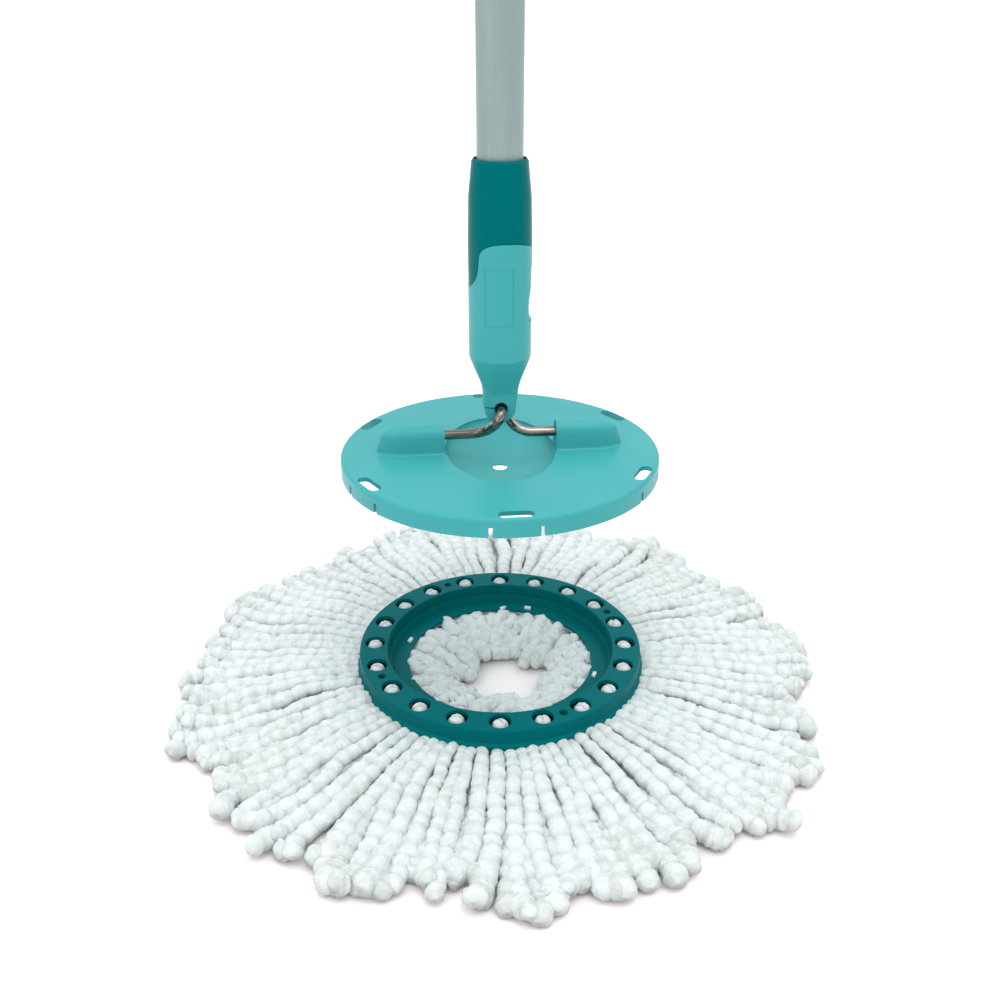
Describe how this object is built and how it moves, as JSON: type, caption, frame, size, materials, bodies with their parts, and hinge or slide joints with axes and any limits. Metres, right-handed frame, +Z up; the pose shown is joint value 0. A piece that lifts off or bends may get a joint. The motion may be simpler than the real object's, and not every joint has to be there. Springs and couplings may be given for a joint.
{
  "type": "spin mop",
  "caption": "Spin mop: pump handle over a turning pole, click joint with wire-hung disc, and a round yarn head released below it.",
  "frame": {"origin": "on the floor, under the middle of the round head", "axes": "+Z up along the handle, +X along the two bosses that hold the wire on the disc"},
  "size_m": [0.356, 0.356, 1.3],
  "materials": {
    "cap": "moulded, satin",
    "upper_pole": "powder coated pale grey-green",
    "grip": "ribbed soft grip",
    "inner_plastic": "natural moulded acetal",
    "spindle_steel": "drawn and twisted",
    "nut_brass": "stamped",
    "spring_steel": "spring temper",
    "lock_plastic": "moulded, fine texture",
    "lower_pole": "powder coated pale grey-green",
    "collar_plastic": "dark teal, semi-gloss",
    "shell_plastic": "turquoise, semi-gloss",
    "wire": "polished steel rod",
    "disc_plastic": "turquoise, semi-gloss",
    "ring_plastic": "dark teal, semi-gloss",
    "clamp_plastic": "white, moulded",
    "yarn": "white microfibre chenille"
  },
  "bodies": {
    "upper_handle": {"hang_cap": "cap", "upper_tube": "upper_pole", "hand_grip": "grip", "spindle_anchor": "inner_plastic", "anchor_pin": "spindle_steel", "twist_spindle": "spindle_steel", "guide_collet": "inner_plastic"},
    "twist_lock": {"lock_collar": "lock_plastic"},
    "slider": {"slide_bush": "inner_plastic", "thrust_washer": "spring_steel"},
    "lower_handle": {"lower_tube": "lower_pole", "retaining_ring": "spring_steel", "clutch_housing": "inner_plastic", "drive_nut": "nut_brass", "click_collar": "collar_plastic", "joint_socket": "shell_plastic", "button_spring": "spring_steel"},
    "button": {"release_button": "shell_plastic"},
    "bail": {"wire_bail": "wire"},
    "disc": {"mop_disc": "disc_plastic"},
    "head": {"mop_ring": "ring_plastic", "ring_clamp": "clamp_plastic", "yarn_knobs": "yarn", "yarn_bundle_01": "yarn", "yarn_bundle_02": "yarn", "yarn_bundle_03": "yarn", "yarn_bundle_04": "yarn", "yarn_bundle_05": "yarn", "yarn_bundle_06": "yarn", "yarn_bundle_07": "yarn", "yarn_bundle_08": "yarn", "yarn_bundle_09": "yarn", "yarn_bundle_10": "yarn", "yarn_bundle_11": "yarn", "yarn_bundle_12": "yarn", "yarn_bundle_13": "yarn", "yarn_bundle_14": "yarn", "yarn_bundle_15": "yarn", "yarn_bundle_16": "yarn", "yarn_bundle_17": "yarn", "yarn_bundle_18": "yarn", "yarn_bundle_19": "yarn", "yarn_bundle_20": "yarn"}
  },
  "joints": [
    {"name": "handle_pump", "type": "slide", "parent": "upper_handle", "child": "slider", "axis": [0, 0, 1], "range_m": [0, 0.25]},
    {"name": "head_spin", "type": "hinge", "parent": "slider", "child": "lower_handle", "pos_m": [0, 0, 0.94], "axis": [0, 0, 1], "range_deg": [0, 720]},
    {"name": "lock_twist", "type": "hinge", "parent": "upper_handle", "child": "twist_lock", "pos_m": [0, 0, 0.634], "axis": [0, 0, 1], "range_deg": [0, 60]},
    {"name": "button_press", "type": "slide", "parent": "lower_handle", "child": "button", "axis": [-1, 0, 0], "range_m": [0, 0.002], "stiffness_N_per_m": 400, "springref_m": -0.0005, "deforming": ["button_spring"]},
    {"name": "bail_swing", "type": "hinge", "parent": "lower_handle", "child": "bail", "pos_m": [0, 0, 0.1622], "axis": [0, 1, 0], "range_deg": [-60, 60]},
    {"name": "disc_tilt", "type": "hinge", "parent": "bail", "child": "disc", "pos_m": [0, 0, 0.1475], "axis": [1, 0, 0], "range_deg": [-70, 70]},
    {"name": "head_release", "type": "slide", "parent": "disc", "child": "head", "axis": [0, 0, 1], "range_m": [0, 0.115]}
  ],
  "couplings": [
    {"joint": "head_spin", "follows": "handle_pump", "rad_per_m": 50.265}
  ]
}
